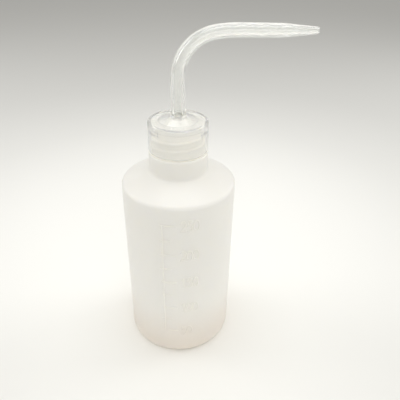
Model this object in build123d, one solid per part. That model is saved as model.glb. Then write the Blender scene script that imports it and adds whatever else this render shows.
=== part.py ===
from build123d import *
import os
from math import cos, radians, sin, tan

# A 250 ml wash bottle in translucent polyethylene: a squeeze bottle, a screw cap with a domed hub,
# a sealing plug held in the cap, and one bent tube that runs from the base up and out to a drawn tip.
# Millimetres. Z is the bottle's axis, z = 0 the plane it stands on, and the spout points to +X.

# Bottle, blow-moulded with one wall thickness all over
bottle_wall = 1.2
body_radius = 30.0
base_corner = 3.0
base_rise = 2.0
foot_width = 5.0
foot_slope_width = 4.0
foot_rounding = 1.5
shoulder_height = 102.4
shoulder_slope = 25.0
shoulder_rounding = 2.5
collar_radius = 15.2
collar_root_rounding = 1.6
collar_top = 119.4
collar_edge = 0.8
finish_radius = 12.6
finish_root_rounding = 0.6
finish_height = 13.2
rim_rounding = 0.4

# Screw cap
cap_gap = 1.0
cap_radius = 15.25
cap_edge = 1.5
skirt_wall = 1.2
skirt_foot_rounding = 0.4
cap_top_thickness = 1.4
hub_radius = 10.0
hub_rise = 3.0
hub_top_radius = 4.7
hub_root_rounding = 1.0
hub_edge = 0.5
hub_land = 1.9
hub_wall = 1.3

# Sealing plug
flange_thickness = 1.5
flange_grip = 0.35
plug_depth = 5.0
plug_wall = 1.2
plug_lead = 0.5
sleeve_wall = 1.8
sleeve_depth = 11.0
boss_wall = 1.1

# Retaining bead inside the cap, under the plug's flange
bead_height = 1.0

# Delivery tube
tube_radius = 3.8
tube_bore = 1.95
foot_gap = 1.2
foot_cut = 30.0
drawn_length = 6.2
drawn_radius = 3.45
drawn_bore = 1.8
bend_height = 156.2
bend_radius = 20.9
bend_angle = 80.0
bent_radius = 3.25
bent_bore = 1.7
ease_radius = 60.0
eased_radius = 3.15
eased_bore = 1.65
run_length = 20.0
run_radius = 3.0
run_bore = 1.5
nozzle_length = 15.5
tip_radius = 1.5
tip_bore = 0.75
nozzle_rounding = 12.0

# Clearances
seat_gap = 0.1
turning_gap = 0.3
neck_gap = 0.35
plug_fit = 0.1
hub_fit = 0.1
grip_fit = 0.03

# Heights and radii that follow from the ones above
foot_radius = body_radius - foot_width
base_dome_radius = foot_radius - foot_slope_width
rim_height = collar_top + finish_height
neck_bore = finish_radius - bottle_wall
flange_bottom = rim_height + seat_gap
flange_top = flange_bottom + flange_thickness
cap_under = flange_top + seat_gap
cap_top = cap_under + cap_top_thickness
cap_bottom = collar_top + cap_gap
skirt_bore = cap_radius - skirt_wall
bead_bore = finish_radius + neck_gap
flange_radius = bead_bore + flange_grip
pocket_radius = flange_radius + turning_gap
hub_top = cap_top + hub_rise
hub_bore = tube_radius + hub_fit
hub_under_radius = hub_radius - hub_wall
hub_under_top = hub_top - hub_land
grip_bore = tube_radius + grip_fit
sleeve_radius = grip_bore + sleeve_wall
tube_foot = base_rise + bottle_wall + foot_gap
bend_reach = bend_radius * (1 - cos(radians(bend_angle)))
bend_top = bend_height + bend_radius * sin(radians(bend_angle))
run_start = bend_reach + ease_radius * cos(radians(bend_angle))
run_height = bend_top + ease_radius * (1 - sin(radians(bend_angle)))
on_end = (Align.CENTER, Align.CENTER, Align.MIN)


def section(corners):
    """Face in the XZ plane from corners given as radius, height and rounding."""
    points = [(radius, 0, height) for radius, height, rounding in corners]
    roundings = [rounding for radius, height, rounding in corners]
    return make_face(FilletPolyline(*points, radius=roundings, close=True))


def turned(face):
    """Solid of revolution about the bottle's axis."""
    return revolve(face, Axis.Z, 360)


def bottle():
    """The squeeze bottle: its outline turned about the axis, less the same outline set in by the wall."""
    collar_root = shoulder_height + (body_radius - collar_radius) * tan(radians(shoulder_slope))
    outline = section([
        (0, base_rise, 0),
        (base_dome_radius, base_rise, foot_rounding),
        (foot_radius, 0, foot_rounding),
        (body_radius, 0, base_corner),
        (body_radius, shoulder_height, shoulder_rounding),
        (collar_radius, collar_root, collar_root_rounding),
        (collar_radius, collar_top, collar_edge),
        (finish_radius, collar_top, finish_root_rounding),
        (finish_radius, rim_height, rim_rounding),
        (0, rim_height, 0),
    ])
    set_in = offset(outline + mirror(outline, Plane.YZ), -bottle_wall)
    cavity = turned(split(set_in, Plane.YZ, Keep.TOP))
    mouth = Pos(0, 0, collar_top) * Cylinder(neck_bore, finish_height, align=on_end)
    return turned(outline) - cavity - mouth


def screw_cap():
    """The cap: a skirt, a flat rim, a raised hub round the tube, and a bead that keeps the plug in."""
    bead_top = flange_bottom - seat_gap
    bead_bottom = bead_top - bead_height
    return turned(section([
        (skirt_bore, cap_bottom, skirt_foot_rounding),
        (cap_radius, cap_bottom, skirt_foot_rounding),
        (cap_radius, cap_top, cap_edge),
        (hub_radius, cap_top, hub_root_rounding),
        (hub_top_radius, hub_top, hub_edge),
        (hub_bore, hub_top, 0),
        (hub_bore, hub_under_top, 0),
        (hub_under_radius, cap_under, 0),
        (pocket_radius, cap_under, 0),
        (pocket_radius, bead_top, 0),
        (bead_bore, bead_top - flange_grip / 2, 0),
        (bead_bore, bead_bottom, 0),
        (skirt_bore, bead_bottom - (skirt_bore - bead_bore), 0),
    ]))


def seal_plug():
    """The plug: a flange on the neck's rim, a lip in its mouth, and a sleeve and boss round the tube."""
    hub_under_slope = (hub_under_top - cap_under) / (hub_under_radius - hub_bore)
    boss_radius = grip_bore + boss_wall
    boss_top = hub_under_top - (boss_radius - hub_bore) * hub_under_slope - turning_gap
    boss_foot = hub_under_radius - (flange_top - cap_under + turning_gap) / hub_under_slope
    sleeve_bottom = rim_height - sleeve_depth
    lip_radius = neck_bore - plug_fit
    lip_bottom = flange_bottom - plug_depth
    return turned(section([
        (grip_bore, sleeve_bottom, 0),
        (sleeve_radius, sleeve_bottom, 0),
        (sleeve_radius, flange_bottom, 0),
        (lip_radius - plug_wall, flange_bottom, 0),
        (lip_radius - plug_wall, lip_bottom, 0),
        (lip_radius - plug_lead, lip_bottom, 0),
        (lip_radius, lip_bottom + 2 * plug_lead, 0),
        (lip_radius, flange_bottom, 0),
        (flange_radius, flange_bottom, 0),
        (flange_radius, flange_top, 0),
        (boss_foot, flange_top, 0),
        (boss_radius, boss_top, 0),
        (grip_bore, boss_top, 0),
    ]))


def bent_rod(line, start_radius, end_radius):
    """Rod along a bent line, its radius changing evenly from one end to the other."""
    start = Plane(line @ 0, z_dir=line % 0) * Circle(start_radius)
    end = Plane(line @ 1, z_dir=line % 1) * Circle(end_radius)
    return sweep([start, end], path=line, multisection=True)


def tube_rod(stem, drawn, bent, eased, run, tip):
    """Rod along the tube's line, from its radii in the stem and at the end of each stretch after it."""
    drawn_foot = bend_height - drawn_length
    stem_rod = turned(section([
        (0, tube_foot, 0),
        (stem, tube_foot, 0),
        (stem, drawn_foot, 0),
        (drawn, bend_height, 0),
        (0, bend_height, 0),
    ]))

    bend_end = (bend_reach, 0, bend_top)
    bend_line = TangentArc((0, 0, bend_height), bend_end, tangent=(0, 0, 1))
    ease_line = TangentArc(bend_end, (run_start, 0, run_height), tangent=bend_line % 1)

    run_end = run_start + run_length
    tip_end = run_end + nozzle_length
    outline = FilletPolyline(
        (run_start, 0, run_height),
        (run_start, 0, run_height + eased),
        (run_end, 0, run_height + run),
        (tip_end, 0, run_height + tip),
        (tip_end, 0, run_height),
        radius=[0, nozzle_rounding, 0],
    )
    half_outline = make_face([outline, Line(outline @ 1, outline @ 0)])
    run_rod = revolve(half_outline, Axis((0, 0, run_height), (1, 0, 0)), 360)
    return stem_rod + bent_rod(bend_line, drawn, bent) + bent_rod(ease_line, bent, eased) + run_rod


def delivery_tube():
    """The tube: stem with a slanting foot, a bend that eases out, a level run and a drawn nozzle."""
    outside = tube_rod(tube_radius, drawn_radius, bent_radius, eased_radius, run_radius, tip_radius)
    bore = tube_rod(tube_bore, drawn_bore, bent_bore, eased_bore, run_bore, tip_bore)
    slant = Plane((-tube_radius, 0, tube_foot), z_dir=(-sin(radians(foot_cut)), 0, cos(radians(foot_cut))))
    return split(outside - bore, slant, Keep.TOP)


nodes = {
    "bottle": bottle(),
    "screw_cap": screw_cap(),
    "seal_plug": seal_plug(),
    "delivery_tube": delivery_tube(),
}

os.makedirs("parts", exist_ok=True)
for name, solid in nodes.items():
    export_step(solid, f"parts/{name}.step")
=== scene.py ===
import bpy
import bmesh
from math import cos, degrees, exp, pi, radians, sin, tan
from mathutils import Matrix, Vector


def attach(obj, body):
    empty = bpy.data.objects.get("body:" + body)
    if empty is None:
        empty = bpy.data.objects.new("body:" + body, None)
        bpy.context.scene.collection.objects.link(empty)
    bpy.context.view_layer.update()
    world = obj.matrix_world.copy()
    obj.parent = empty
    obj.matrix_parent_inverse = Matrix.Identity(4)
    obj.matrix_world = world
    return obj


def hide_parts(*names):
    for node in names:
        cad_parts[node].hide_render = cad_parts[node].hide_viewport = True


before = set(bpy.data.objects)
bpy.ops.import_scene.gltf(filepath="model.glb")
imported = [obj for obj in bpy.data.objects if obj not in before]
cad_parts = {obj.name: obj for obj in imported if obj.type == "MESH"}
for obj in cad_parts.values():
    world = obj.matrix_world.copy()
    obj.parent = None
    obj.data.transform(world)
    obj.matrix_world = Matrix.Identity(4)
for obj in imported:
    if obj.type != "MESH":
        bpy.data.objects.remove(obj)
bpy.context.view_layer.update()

# Bottle. One blow-moulded piece of milky low-density polyethylene: pushed-up base, straight body, sloped
# shoulder, collar and a neck with a right-hand thread of one and a half turns. The two halves of the mould
# leave a fine parting line at the left and the right. Sizes are in millimetres.
MM = 0.001
bottle_wall = 1.2
base_rise = 2.0
dome_radius = 21.0
dome_radius_inside = 21.37
foot_radius = 25.0
foot_radius_inside = 25.37
body_radius = 30.0
shoulder_height = 102.4
shoulder_height_inside = 101.65
collar_radius = 15.2
collar_root = 109.3
collar_root_inside = 108.55
collar_top = 119.4
finish_radius = 12.6
neck_bore = 11.4
rim_height = 132.6
rim_rounding = 0.4
base_top = base_rise + bottle_wall
body_bore = body_radius - bottle_wall
collar_bore = collar_radius - bottle_wall
collar_ceiling = collar_top - bottle_wall
# Corners as radius, height and rounding, up the outside, over the rim and down the inside.
bottle_corners = [
    (0, base_rise, 0), (dome_radius, base_rise, 1.5), (foot_radius, 0, 1.5), (body_radius, 0, 3.0),
    (body_radius, shoulder_height, 2.5), (collar_radius, collar_root, 1.6),
    (collar_radius, collar_top, 0.8), (finish_radius, collar_top, 0.6),
    (finish_radius, rim_height, rim_rounding), (neck_bore, rim_height, 0.3),
    (neck_bore, collar_ceiling, 0.5), (collar_bore, collar_ceiling, 0.6),
    (collar_bore, collar_root_inside, 2.8), (body_bore, shoulder_height_inside, 1.3),
    (body_bore, bottle_wall, 1.8), (foot_radius_inside, bottle_wall, 0.6),
    (dome_radius_inside, base_top, 0.4), (0, base_top, 0),
]
corner_steps = 7
turned_sides = 256
wall_step = 2.5
thread_step = 0.16
near_wall = 0.1
finish_root_radius = 13.5
rim_reach = 1.0

# The thread's ridge. Its angles are in degrees round the neck, from the front.
thread_pitch = 4.23
thread_front_height = 128.3
thread_height = 1.15
thread_width = 1.9
thread_flank = 0.6
thread_top_angle = 60
thread_turn_angle = 545
thread_fade_angle = 18
thread_foot_room = 1.0
thread_rim_room = 1.5

# The parting line, and the slow waves that a blown wall has: how many go round, share, lean per
# millimetre of height, and start.
parting_height = 0.14
parting_width = 0.22
parting_foot = 1.0
parting_inner_radius = 14.0
parting_offsets = (0.004, 0.008, 0.013, 0.019)
wave_height = 0.10
wave_inner_radius = 22.0
wave_fade = 8.0
wave_foot_fade = 12.0
body_waves = [(2, 0.6, 0.0, 0.8), (3, 0.4, 1 / 17, 0.0)]


def rounded_line(corners, steps):
    """Points of a line through corners given as radius, height and rounding."""
    line = [Vector(corners[0][:2])]
    for before, corner, after in zip(corners, corners[1:], corners[2:]):
        point = Vector(corner[:2])
        rounding = corner[2]
        if not rounding:
            line.append(point)
            continue
        back = (Vector(before[:2]) - point).normalized()
        on = (Vector(after[:2]) - point).normalized()
        half = back.angle(on) / 2
        centre = point + (back + on).normalized() * rounding / sin(half)
        start = (point + back * rounding / tan(half) - centre).normalized()
        end = (point + on * rounding / tan(half) - centre).normalized()
        for k in range(steps + 1):
            line.append(centre + start.slerp(end, k / steps) * rounding)
    line.append(Vector(corners[-1][:2]))
    return line


def divided(line, step_at):
    """The same line with its long runs divided: step_at gives the longest step near a point."""
    points = [line[0]]
    for a, b in zip(line, line[1:]):
        pieces = max(1, round((b - a).length / step_at((a + b) / 2)))
        points += [a.lerp(b, k / pieces) for k in range(1, pieces + 1)]
    return points


def full_turn(sides):
    """Angles of evenly spaced sides all round."""
    return [2 * pi * k / sides for k in range(sides)]


def skin_between(mesh, low, high):
    """Faces between two rings of points. A ring on the axis is the same point over and over."""
    for k in range(len(low)):
        n = (k + 1) % len(low)
        corners = [low[k], low[n], high[n], high[k]]
        mesh.faces.new(list(dict.fromkeys(corners)))


def finished(mesh, name):
    """The piece made from a mesh, with its faces turned outwards and shaded smooth."""
    bmesh.ops.recalc_face_normals(mesh, faces=mesh.faces)
    data = bpy.data.meshes.new(name)
    mesh.to_mesh(data)
    mesh.free()
    data.shade_smooth()
    piece = bpy.data.objects.new(name, data)
    bpy.context.scene.collection.objects.link(piece)
    return piece


def turned(name, line, angles, closed, place):
    """Piece turned about the axis. place gives where a point of the line goes at an angle."""
    mesh = bmesh.new()
    rings = []
    for number, (radius, height) in enumerate(line):
        if radius < 1e-6:
            rings.append([mesh.verts.new((0, 0, height * MM))] * len(angles))
            continue
        ring = []
        for angle in angles:
            r, z = place(number, radius, height, angle)
            ring.append(mesh.verts.new((r * cos(angle) * MM, r * sin(angle) * MM, z * MM)))
        rings.append(ring)
    for low, high in zip(rings, rings[1:]):
        skin_between(mesh, low, high)
    if closed:
        skin_between(mesh, rings[-1], rings[0])
    return finished(mesh, name)


def smooth_step(share):
    """A share eased in and out, and held at 0 and 1 outside that range."""
    share = min(1.0, max(0.0, share))
    return share * share * (3 - 2 * share)


def ridge(height, angle, shift):
    """Share of the thread's height at a height and angle: one ridge of a right-hand helix."""
    front = (angle + pi / 2 + pi) % (2 * pi) - pi
    best = 0.0
    for turn in range(-3, 2):
        along = degrees(front + 2 * pi * turn)
        to_top = thread_top_angle - along
        to_end = along - (thread_top_angle - thread_turn_angle)
        ends = smooth_step(to_top / thread_fade_angle) * smooth_step(to_end / thread_fade_angle)
        if not ends:
            continue
        centre = thread_front_height + shift + thread_pitch * along / 360
        flank = smooth_step((thread_width / 2 - abs(height - centre)) / thread_flank)
        best = max(best, ends * flank)
    return best


def bottle_step(point):
    """Longest step near a point of the bottle's line: fine where the thread is, coarse elsewhere."""
    on_finish = finish_radius - near_wall < point[0] < finish_root_radius and point[1] > collar_top
    return thread_step if on_finish else wall_step


def bottle_place(number, radius, height, angle):
    """Radius and height on the bottle, with the thread, the parting line and the waves of the wall."""
    outer = number <= last_outer_point
    if outer and collar_top + thread_foot_room < height < rim_height - thread_rim_room:
        return radius + thread_height * ridge(height, angle, 0.0), height
    seam = 0.0
    if outer and radius > parting_inner_radius and height > parting_foot:
        aside = abs(sin(angle)) * radius
        seam = parting_height * exp(-(aside / parting_width) ** 2)
    swell = smooth_step((radius - wave_inner_radius) / wave_fade) * smooth_step(height / wave_foot_fade)
    wave = sum(share * sin(count * angle + height * lean + start) for count, share, lean, start in body_waves)
    return radius + seam + wave_height * wave * swell, height


bottle_points = divided(rounded_line(bottle_corners, corner_steps), bottle_step)
last_outer_point = max(
    number for number, point in enumerate(bottle_points)
    if point[0] > finish_radius - rim_rounding / 2 and point[1] > rim_height - rim_reach
)
parting_angles = [
    side + sign * offset for side in (0, pi) for sign in (-1, 1) for offset in parting_offsets
]
bottle_angles = sorted(full_turn(turned_sides) + parting_angles)
bottle = turned("blown_bottle", bottle_points, bottle_angles, False, bottle_place)

# The plastics' finish: noise scale and detail of the drift in tint and of the sheen, how deep the texture
# is and how far light spreads, both in metres, the tint of light that has passed through, and the colour
# of the painted shade that darkens and warms the plastic towards the foot, up to a height in metres.
drift_noise = (22, 2)
sheen_noise = (140, 4)
sheen_spread = 0.2
texture_detail = 3
texture_depth = 0.0001
plastic_ior = 1.5
spread_colour = (1.0, 0.95, 0.8)
spread_depth = 0.004
passed_tint = (1.0, 0.99, 0.96)
foot_shade_colour = (0.82, 0.745, 0.665)
foot_shade_height = 0.042


def moulded_plastic(name, pale, warm, clearness, gloss, haze, passes, grain=900, relief=0.25, foot_shade=0.0):
    """Unfilled plastic: a slow drift of tint, a fine mould texture, and lamp light that passes through it."""
    material = bpy.data.materials.new(name)
    material.use_nodes = True
    tree = material.node_tree
    link = tree.links.new
    shader = tree.nodes["Principled BSDF"]
    place = tree.nodes.new("ShaderNodeTexCoord")

    def noise(scale, detail):
        made = tree.nodes.new("ShaderNodeTexNoise")
        made.inputs["Scale"].default_value = scale
        made.inputs["Detail"].default_value = detail
        link(place.outputs["Object"], made.inputs["Vector"])
        return made.outputs["Fac"]

    drift = tree.nodes.new("ShaderNodeMix")
    drift.data_type = "RGBA"
    drift.inputs["A"].default_value = (*pale, 1)
    drift.inputs["B"].default_value = (*warm, 1)
    link(noise(*drift_noise), drift.inputs["Factor"])
    # Painted shade: the colour goes darker and warmer towards the foot, up to a height.
    position = tree.nodes.new("ShaderNodeSeparateXYZ")
    link(place.outputs["Object"], position.inputs["Vector"])
    foot_shade_share = tree.nodes.new("ShaderNodeMapRange")
    foot_shade_share.interpolation_type = "SMOOTHSTEP"
    foot_shade_share.inputs["From Max"].default_value = foot_shade_height
    foot_shade_share.inputs["To Min"].default_value = foot_shade
    foot_shade_share.inputs["To Max"].default_value = 0.0
    link(position.outputs["Z"], foot_shade_share.inputs["Value"])
    colour = tree.nodes.new("ShaderNodeMix")
    colour.data_type = "RGBA"
    colour.inputs["B"].default_value = (*foot_shade_colour, 1)
    link(foot_shade_share.outputs["Result"], colour.inputs["Factor"])
    link(drift.outputs["Result"], colour.inputs["A"])
    link(colour.outputs["Result"], shader.inputs["Base Color"])

    sheen = tree.nodes.new("ShaderNodeMapRange")
    sheen.inputs["To Min"].default_value = gloss * (1 - sheen_spread)
    sheen.inputs["To Max"].default_value = gloss * (1 + sheen_spread)
    link(noise(*sheen_noise), sheen.inputs["Value"])
    link(sheen.outputs["Result"], shader.inputs["Roughness"])
    texture = tree.nodes.new("ShaderNodeBump")
    texture.inputs["Strength"].default_value = relief
    texture.inputs["Distance"].default_value = texture_depth
    link(noise(grain, texture_detail), texture.inputs["Height"])
    link(texture.outputs["Normal"], shader.inputs["Normal"])
    shader.inputs["IOR"].default_value = plastic_ior
    shader.inputs["Transmission Weight"].default_value = clearness
    shader.inputs["Subsurface Weight"].default_value = haze
    shader.inputs["Subsurface Radius"].default_value = spread_colour
    shader.inputs["Subsurface Scale"].default_value = spread_depth

    lamp_ray = tree.nodes.new("ShaderNodeLightPath")
    through = tree.nodes.new("ShaderNodeBsdfTransparent")
    through.inputs["Color"].default_value = (*(passes * part for part in passed_tint), 1)
    joined = tree.nodes.new("ShaderNodeMixShader")
    link(lamp_ray.outputs["Is Shadow Ray"], joined.inputs["Fac"])
    link(shader.outputs["BSDF"], joined.inputs[1])
    link(through.outputs["BSDF"], joined.inputs[2])
    link(joined.outputs["Shader"], tree.nodes["Material Output"].inputs["Surface"])
    return material


# The body's colour carries painted shade towards the foot.
milky_plastic = moulded_plastic(
    "milky_polyethylene", pale=(0.965, 0.945, 0.87), warm=(0.95, 0.915, 0.835),
    clearness=0.12, gloss=0.36, haze=0.6, passes=0.6, foot_shade=1.0
)
bottle.data.materials.append(milky_plastic)
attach(bottle, "bottle")
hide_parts("bottle")

# Scale on the body's front, raised by the mould in the bottle's own plastic: an upright line with a mark
# for each 25 ml, longer at each 50 ml, and plain numbers from 50 to 250 beside it. Places across are arcs
# round the body from the front.
scale_line = radians(-17.0) * body_radius
scale_top = 92.0
scale_foot = 18.0
scale_per_ml = 0.37
scale_full_ml = 250
first_mark_ml = 50
mark_each_ml = 25
number_each_ml = 50
mark_overhang = 1.2
short_mark = 4.6
long_mark = 7.4
stroke_width = 0.62
stroke_height = 0.16
stroke_step = 0.5
line_step = 2.0
number_start = radians(0.8) * body_radius
digit_height = 6.2
digit_width = 2.9
digit_pitch = 3.35
digit_strokes = {
    "0": [[(0.5, 1), (0.15, 0.88), (0, 0.6), (0, 0.4), (0.15, 0.12), (0.5, 0), (0.85, 0.12),
           (1, 0.4), (1, 0.6), (0.85, 0.88), (0.5, 1)]],
    "1": [[(0.15, 0.78), (0.55, 1), (0.55, 0)]],
    "2": [[(0.04, 0.76), (0.2, 0.95), (0.5, 1), (0.85, 0.92), (0.95, 0.7), (0.75, 0.45), (0, 0), (1, 0)]],
    "5": [[(0.92, 1), (0.15, 1), (0.06, 0.56), (0.4, 0.64), (0.8, 0.56), (1, 0.32), (0.85, 0.08),
           (0.45, 0), (0.02, 0.1)]],
}
# A stroke's section in shares of its width and height, its foot just inside the wall.
stroke_section = [
    (-0.5, -0.15), (-0.5, 0.0), (-0.38, 0.6), (-0.16, 0.95),
    (0.16, 0.95), (0.38, 0.6), (0.5, 0.0), (0.5, -0.15),
]


def raised_stroke(mesh, corners, step):
    """A rounded bead on the body along corners given as arc and height."""
    points = divided([Vector(corner) for corner in corners], lambda point: step)
    rings = []
    for n, point in enumerate(points):
        before = points[max(n - 1, 0)]
        after = points[min(n + 1, len(points) - 1)]
        along = (after - before).normalized()
        across = Vector((along[1], -along[0]))
        ring = []
        for side, rise in stroke_section:
            arc, height = point + across * side * stroke_width
            angle = arc / body_radius - pi / 2
            r = body_radius + rise * stroke_height
            ring.append(mesh.verts.new((r * cos(angle) * MM, r * sin(angle) * MM, height * MM)))
        rings.append(ring)
    for low, high in zip(rings, rings[1:]):
        skin_between(mesh, low, high)
    mesh.faces.new(rings[0])
    mesh.faces.new(rings[-1])


scale_mesh = bmesh.new()
raised_stroke(scale_mesh, [(scale_line, scale_top), (scale_line, scale_foot)], line_step)
for millilitres in range(first_mark_ml, scale_full_ml + 1, mark_each_ml):
    height = scale_top - scale_per_ml * (scale_full_ml - millilitres)
    numbered = millilitres % number_each_ml == 0
    mark_end = scale_line + (long_mark if numbered else short_mark)
    raised_stroke(scale_mesh, [(scale_line - mark_overhang, height), (mark_end, height)], stroke_step)
    if numbered:
        for digit_place, digit in enumerate(str(millilitres)):
            left = number_start + digit_place * digit_pitch
            foot = height - digit_height / 2
            for stroke in digit_strokes[digit]:
                corners = [(left + x * digit_width, foot + y * digit_height) for x, y in stroke]
                raised_stroke(scale_mesh, corners, stroke_step)
scale_relief = finished(scale_mesh, "scale_relief")
# The scale's colour carries painted shade towards the foot, like the body's.
scale_plastic = moulded_plastic(
    "raised_scale_polyethylene", pale=(0.905, 0.885, 0.815), warm=(0.89, 0.86, 0.785),
    clearness=0.0, gloss=0.36, haze=0.0, passes=0.6, foot_shade=1.0
)
scale_relief.data.materials.append(scale_plastic)
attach(scale_relief, "bottle")

# Sealing plug. A small moulding of soft polyethylene held in the cap: its flange seals the rim, its lip
# enters the mouth, and its sleeve and boss grip the tube.
tube_grip = 3.83
sleeve_radius = 5.63
sleeve_bottom = 121.6
lip_bore = 10.1
lip_bottom_radius = 10.8
lip_radius = 11.3
lip_bottom = 127.7
lip_lead_top = 128.7
flange_radius = 13.3
flange_bottom = 132.7
flange_top = 134.2
boss_foot_radius = 8.2
boss_radius = 4.93
boss_top = 135.95
plug_corners = [
    (tube_grip, sleeve_bottom, 0.3), (sleeve_radius, sleeve_bottom, 0.4),
    (sleeve_radius, flange_bottom, 0.4), (lip_bore, flange_bottom, 0.4), (lip_bore, lip_bottom, 0.2),
    (lip_bottom_radius, lip_bottom, 0.2), (lip_radius, lip_lead_top, 0.5),
    (lip_radius, flange_bottom, 0.25), (flange_radius, flange_bottom, 0.3),
    (flange_radius, flange_top, 0.35), (boss_foot_radius, flange_top, 0.4),
    (boss_radius, boss_top, 0.3), (tube_grip, boss_top, 0.2),
]
plug_corner_steps = 4
plug_sides = 160


def rounded_ring(corners, steps):
    """Points of a closed section, its first corner rounded like the others."""
    return rounded_line([corners[-1], *corners, corners[0]], steps)[1:-1]


def plug_place(number, radius, height, angle):
    """Radius and height on the plug, which is plain all round."""
    return radius, height


plug_points = rounded_ring(plug_corners, plug_corner_steps)
plug = turned("plug_moulding", plug_points, full_turn(plug_sides), True, plug_place)
soft_plastic = moulded_plastic(
    "soft_polyethylene", pale=(0.86, 0.86, 0.83), warm=(0.84, 0.835, 0.8),
    clearness=0.35, gloss=0.3, haze=0.3, passes=0.8
)
plug.data.materials.append(soft_plastic)
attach(plug, "plug")
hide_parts("seal_plug")

# Screw cap. An injection-moulded cap of clear natural polypropylene: skirt with the mating thread inside,
# a flat rim, and a raised hub that the tube comes up through. The mould leaves four fine upright marks.
cap_radius = 15.25
cap_bottom = 120.4
cap_top = 135.7
cap_under = 134.3
hub_radius = 10.0
hub_radius_inside = 8.7
hub_top_radius = 4.7
hub_top = 138.7
hub_ceiling = 136.8
hub_bore = 3.9
pocket_radius = 13.6
skirt_bore = 14.05
bead_bore = 12.95
bead_lead_top = 132.6
bead_top = 132.42
bead_bottom = 131.6
bead_root = 130.5
cap_corners = [
    (skirt_bore, cap_bottom, 0.35), (cap_radius, cap_bottom, 0.4), (cap_radius, cap_top, 1.5),
    (hub_radius, cap_top, 1.0), (hub_top_radius, hub_top, 0.5), (hub_bore, hub_top, 0.15),
    (hub_bore, hub_ceiling, 0.15), (hub_radius_inside, cap_under, 0.3), (pocket_radius, cap_under, 0.25),
    (pocket_radius, bead_lead_top, 0.1), (bead_bore, bead_top, 0.1), (bead_bore, bead_bottom, 0.3),
    (skirt_bore, bead_root, 0.4),
]
cap_corner_steps = 6
cap_wall_step = 2.0
on_wall = 0.05
cap_thread_shift = -2.115
cap_thread_height = 1.05
cap_thread_foot_room = 0.8
cap_thread_top_room = 0.1
cap_marks = [radians(azimuth - 90) for azimuth in (-41, 49, 139, 229)]
cap_mark_foot = 130.0
cap_mark_height = 0.14
cap_mark_width = 0.2
cap_mark_offsets = (-0.02, -0.012, -0.004, 0.004)


def cap_step(point):
    """Longest step near a point of the cap's line: fine inside the skirt, coarse elsewhere."""
    in_skirt = abs(point[0] - skirt_bore) < near_wall and point[1] < bead_bottom
    return thread_step if in_skirt else cap_wall_step


def cap_place(number, radius, height, angle):
    """Radius and height on the cap, with the thread inside the skirt and the marks outside."""
    thread_foot = cap_bottom + cap_thread_foot_room
    thread_end = bead_root - cap_thread_top_room
    if abs(radius - skirt_bore) < on_wall and thread_foot < height < thread_end:
        return radius - cap_thread_height * ridge(height, angle, cap_thread_shift), height
    if abs(radius - cap_radius) < on_wall and height > cap_mark_foot:
        aside = min(abs((angle - mark + pi) % (2 * pi) - pi) for mark in cap_marks) * cap_radius
        return radius + cap_mark_height * exp(-(aside / cap_mark_width) ** 2), height
    return radius, height


cap_points = divided(rounded_ring(cap_corners, cap_corner_steps), cap_step)
mark_angles = [(mark + offset) % (2 * pi) for mark in cap_marks for offset in cap_mark_offsets]
cap_angles = sorted(full_turn(turned_sides) + mark_angles)
cap = turned("cap_moulding", cap_points, cap_angles, True, cap_place)
clear_plastic = moulded_plastic(
    "clear_polypropylene", pale=(0.975, 0.975, 0.97), warm=(0.965, 0.965, 0.955),
    clearness=0.8, gloss=0.09, haze=0.12, passes=0.94, grain=500, relief=0.15
)
cap.data.materials.append(clear_plastic)
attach(cap, "cap")
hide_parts("screw_cap")

# Delivery tube. One length of clear polyethylene tube, cut slanting at the foot, bent hot through a quarter
# turn and drawn out to a tip. It thins a little towards the bend and in it, and the drawn bore is uneven.
tube_radius = 3.8
tube_bore = 1.95
tube_foot = 4.4
foot_slope = tan(radians(30))
drawn_length = 6.2
drawn_radius = 3.45
drawn_bore = 1.8
bend_height = 156.2
bend_radius = 20.9
bend_angle = radians(80)
bent_radius = 3.25
bent_bore = 1.7
ease_radius = 60.0
ease_angle = pi / 2 - bend_angle
eased_radius = 3.15
eased_bore = 1.65
run_length = 20.0
run_radius = 3.0
run_bore = 1.5
nozzle_length = 15.5
tip_radius = 1.5
tip_bore = 0.75
tip_edge = 0.25
bend_arc = bend_radius * bend_angle
ease_arc = ease_radius * ease_angle
bend_reach = bend_radius * (1 - cos(bend_angle))
bend_top = bend_height + bend_radius * sin(bend_angle)
run_start = bend_reach + ease_radius * cos(bend_angle)
run_height = bend_top + ease_radius * (1 - sin(bend_angle))
stem_length = bend_height - tube_foot
# Each stretch of the tube: its length, and its outer radius and bore where it ends.
stretches = [
    (stem_length - drawn_length, tube_radius, tube_bore),
    (drawn_length, drawn_radius, drawn_bore),
    (bend_arc, bent_radius, bent_bore),
    (ease_arc, eased_radius, eased_bore),
    (run_length, run_radius, run_bore),
    (nozzle_length, tip_radius, tip_bore),
]
bend_length = bend_arc + ease_arc
tube_length = sum(length for length, outer, bore in stretches)
taper_start = tube_length - nozzle_length
taper_rounding = 0.05
taper_rounding_reach = 1.6
bend_squash = 0.03
# The drawn bore's ripple: its height, how fast it comes along the tube and leans and turns round it,
# and how far it takes to start and to end.
ripple_height = 0.16
ripple_rate = 0.9
ripple_lean = 0.8
ripple_turn = 0.25
ripple_start = 14.0
ripple_end = 6.0
tube_sides = 72
stem_rings = 36
stem_ring_start = 5.0
stem_ring_step = 4.0
drawn_rings = 6
bend_rings = 44
run_rings = 70
run_ring_step = 0.5


def tube_line(along):
    """Centre and direction of the tube's line at a distance from the foot."""
    past = along - stem_length
    if past < 0:
        return Vector((0, 0, tube_foot + along)), Vector((0, 0, 1))
    if past < bend_arc:
        turn = past / bend_radius
        centre = Vector((bend_radius * (1 - cos(turn)), 0, bend_height + bend_radius * sin(turn)))
        return centre, Vector((sin(turn), 0, cos(turn)))
    past -= bend_arc
    if past < ease_arc:
        turn = bend_angle + past / ease_radius
        x = bend_reach + ease_radius * (cos(bend_angle) - cos(turn))
        z = bend_top + ease_radius * (sin(turn) - sin(bend_angle))
        return Vector((x, 0, z)), Vector((sin(turn), 0, cos(turn)))
    past -= ease_arc
    return Vector((run_start + past, 0, run_height)), Vector((1, 0, 0))


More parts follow.
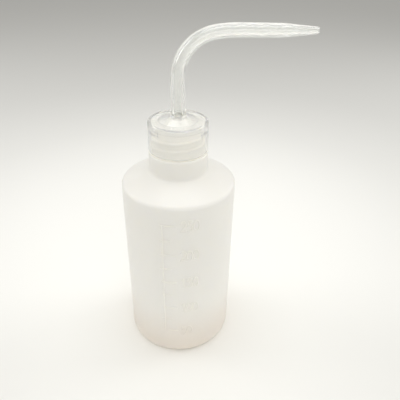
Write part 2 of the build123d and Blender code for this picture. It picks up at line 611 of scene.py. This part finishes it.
def tube_radii(along):
    """Outer radius and bore at a distance from the foot, each stretch changing evenly to its end's."""
    outer, bore = tube_radius, tube_bore
    start = 0.0
    for length, end_outer, end_bore in stretches:
        if along <= start + length:
            share = (along - start) / length
            return outer + (end_outer - outer) * share, bore + (end_bore - bore) * share
        outer, bore = end_outer, end_bore
        start += length
    return outer, bore


def tube_ring(mesh, along, size, kind):
    """One ring of the tube's skin: outside or bore, at a distance along, with size added to its radius."""
    centre, direction = tube_line(along)
    outer, bore = tube_radii(along)
    across = Vector((0, 1, 0))
    up = direction.cross(across)
    bend_share = min(max((along - stem_length) / bend_length, 0), 1)
    squash = 1 - bend_squash * sin(pi * bend_share)
    past_middle = along - stem_length - bend_length / 2
    drawn = smooth_step(past_middle / ripple_start) * smooth_step((tube_length - along) / ripple_end)
    ring = []
    for turn in full_turn(tube_sides):
        if kind == "outside":
            radius = outer - taper_rounding * exp(-((along - taper_start) / taper_rounding_reach) ** 2)
        else:
            ripple = sin(along * ripple_rate + ripple_lean * sin(turn)) * sin(turn + along * ripple_turn)
            radius = bore + ripple_height * drawn * ripple
        radius += size
        point = centre + across * cos(turn) * radius + up * sin(turn) * radius * squash
        if along < 1e-6:
            point[2] = tube_foot + (point[0] + tube_radius) * foot_slope
        ring.append(mesh.verts.new(point * MM))
    return ring


stations = [0.0] + [stem_ring_start + stem_ring_step * k for k in range(stem_rings)]
stations += [stem_length - drawn_length + drawn_length * k / drawn_rings for k in range(drawn_rings)]
stations += [stem_length + bend_length * k / bend_rings for k in range(bend_rings)]
stations += [stem_length + bend_length + run_ring_step * k for k in range(1, run_rings + 1)]
edge_rows = [
    (tube_length - tip_edge * (1 - sin(turn)), -tip_edge * (1 - cos(turn)))
    for turn in (0, pi / 6, pi / 3, pi / 2)
]
tube_mesh = bmesh.new()
skin = [tube_ring(tube_mesh, along, 0, "outside") for along in stations]
skin += [tube_ring(tube_mesh, along, size, "outside") for along, size in edge_rows]
skin += [tube_ring(tube_mesh, along, -size, "bore") for along, size in reversed(edge_rows)]
skin += [tube_ring(tube_mesh, along, 0, "bore") for along in reversed(stations)]
for low, high in zip(skin, skin[1:] + skin[:1]):
    skin_between(tube_mesh, low, high)
tube = finished(tube_mesh, "drawn_tube")

# The hot bend leaves the plastic hazier: its clearness and haze, and the heights where each begins.
tube_hazes = [(0.97, 0.01), (0.9, 0.05), (0.86, 0.09), (0.83, 0.12)]
haze_starts = [0.0, 147.0, 156.2, 168.0]
for clearness, haze in tube_hazes:
    tube.data.materials.append(moulded_plastic(
        "clear_tube_polyethylene", pale=(0.975, 0.98, 0.965), warm=(0.965, 0.97, 0.955),
        clearness=clearness, gloss=0.09, haze=haze, passes=0.96, grain=260, relief=0.12
    ))
for face in tube.data.polygons:
    face.material_index = sum(face.center[2] > start * MM for start in haze_starts) - 1
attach(tube, "spout")
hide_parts("delivery_tube")

# Floor. A sheet of matt white paper that the bottle stands on, with a painted pool of light: bright round
# the bottle and greyer far off. Sizes from here on are in metres.
floor_reach = 3.0
paper_roughness = 0.9
paper_shine = 0.1
paper_tint = (1.0, 0.995, 0.955)
painted_light_centre = (0.0, 0.08, 0.0)
# How white the painted pool of light makes the paper at a distance from its centre.
painted_light_whites = [(0.0, 0.9), (0.12, 0.89), (0.24, 0.73), (0.4, 0.62), (0.7, 0.62), (1.0, 0.62)]
floor_corners = [
    (-floor_reach, -floor_reach, 0), (floor_reach, -floor_reach, 0),
    (floor_reach, floor_reach, 0), (-floor_reach, floor_reach, 0),
]
floor_data = bpy.data.meshes.new("floor")
floor_data.from_pydata(floor_corners, [], [(0, 1, 2, 3)])
floor = bpy.data.objects.new("floor", floor_data)
bpy.context.scene.collection.objects.link(floor)
paper = bpy.data.materials.new("paper")
paper.use_nodes = True
paper_nodes = paper.node_tree.nodes
paper_links = paper.node_tree.links
paper_shader = paper_nodes["Principled BSDF"]
paper_shader.inputs["Roughness"].default_value = paper_roughness
paper_shader.inputs["Specular IOR Level"].default_value = paper_shine
paper_place = paper_nodes.new("ShaderNodeTexCoord")
paper_distance = paper_nodes.new("ShaderNodeVectorMath")
paper_distance.operation = "DISTANCE"
paper_distance.inputs[1].default_value = painted_light_centre
paper_links.new(paper_place.outputs["Object"], paper_distance.inputs[0])
# Painted pool of light: the paper's colour fades with the distance from its centre.
painted_light_fade = paper_nodes.new("ShaderNodeValToRGB")
painted_light_fade.color_ramp.interpolation = "B_SPLINE"
while len(painted_light_fade.color_ramp.elements) < len(painted_light_whites):
    painted_light_fade.color_ramp.elements.new(1.0)
for element, (distance, white) in zip(painted_light_fade.color_ramp.elements, painted_light_whites):
    element.position = distance
    element.color = (*(white * part for part in paper_tint), 1)
paper_links.new(paper_distance.outputs["Value"], painted_light_fade.inputs["Fac"])
paper_links.new(painted_light_fade.outputs["Color"], paper_shader.inputs["Base Color"])
floor_data.materials.append(paper)

# Light. A pale room and four large soft lamps turned to the bottle: one above, one at each side a little
# behind it, and one in front. What is seen of the room, also in and through the plastic, is a pale grey.
room_colour = (1.0, 0.99, 0.97, 1)
room_strength = 0.6
room_seen_colour = (0.55, 0.548, 0.515, 1)
lamps_turn_to = Vector((0, 0, 0.1))
world = bpy.data.worlds.new("room")
bpy.context.scene.world = world
world.use_nodes = True
room = world.node_tree
room_light = room.nodes["Background"]
room_light.inputs["Color"].default_value = room_colour
room_light.inputs["Strength"].default_value = room_strength
room_seen = room.nodes.new("ShaderNodeBackground")
room_seen.inputs["Color"].default_value = room_seen_colour
ray = room.nodes.new("ShaderNodeLightPath")


def either(first, second):
    """Output that is 1 for both kinds of ray."""
    both = room.nodes.new("ShaderNodeMath")
    both.operation = "ADD"
    both.use_clamp = True
    room.links.new(first, both.inputs[0])
    room.links.new(second, both.inputs[1])
    return both.outputs[0]


mirrored = either(ray.outputs["Is Glossy Ray"], ray.outputs["Is Transmission Ray"])
seen = either(ray.outputs["Is Camera Ray"], mirrored)
room_mix = room.nodes.new("ShaderNodeMixShader")
room.links.new(seen, room_mix.inputs["Fac"])
room.links.new(room_light.outputs[0], room_mix.inputs[1])
room.links.new(room_seen.outputs[0], room_mix.inputs[2])
room.links.new(room_mix.outputs[0], room.nodes["World Output"].inputs["Surface"])


def soft_lamp(name, place, width, depth, watts):
    """A large lamp at a place, turned to the bottle."""
    data = bpy.data.lights.new(name, "AREA")
    data.shape = "RECTANGLE"
    data.size = width
    data.size_y = depth
    data.energy = watts
    lamp = bpy.data.objects.new(name, data)
    bpy.context.scene.collection.objects.link(lamp)
    lamp.location = place
    lamp.rotation_mode = "QUATERNION"
    lamp.rotation_quaternion = (lamps_turn_to - Vector(place)).to_track_quat("-Z", "Y")


soft_lamp("lamp_above", place=(0.0, 0.1, 0.9), width=0.7, depth=0.5, watts=2.5)
soft_lamp("lamp_left", place=(-0.75, 0.2, 0.5), width=0.4, depth=0.6, watts=1.8)
soft_lamp("lamp_right", place=(0.75, 0.25, 0.5), width=0.4, depth=0.6, watts=1.8)
soft_lamp("lamp_front", place=(0.12, -0.75, 0.3), width=0.6, depth=0.5, watts=1.65)

# Camera. It stands above and in front of the bottle and is tilted down to it, turned a little to the
# right and rolled a little, with its focal length given for a picture 400 pixels wide.
camera_place = (0, -0.201, 0.2163)
pitch = radians(32.4)
yaw = radians(3.3)
roll = radians(1.13)
sensor_width = 36
focal_pixels = 432
picture_pixels = 400
ahead = Vector((sin(yaw) * cos(pitch), cos(yaw) * cos(pitch), -sin(pitch)))
level = Vector((cos(yaw), -sin(yaw), 0))
above = level.cross(ahead)
right = level * cos(roll) + above * sin(roll)
upward = above * cos(roll) - level * sin(roll)
camera_data = bpy.data.cameras.new("camera")
camera_data.sensor_width = sensor_width
camera_data.lens = sensor_width * focal_pixels / picture_pixels
camera_data.clip_start = 0.01
camera_data.clip_end = 20
camera = bpy.data.objects.new("camera", camera_data)
bpy.context.scene.collection.objects.link(camera)
camera.matrix_world = Matrix((
    (right[0], upward[0], -ahead[0], camera_place[0]),
    (right[1], upward[1], -ahead[1], camera_place[1]),
    (right[2], upward[2], -ahead[2], camera_place[2]),
    (0, 0, 0, 1),
))
bpy.context.scene.camera = camera
bpy.context.scene.view_settings.view_transform = "Standard"
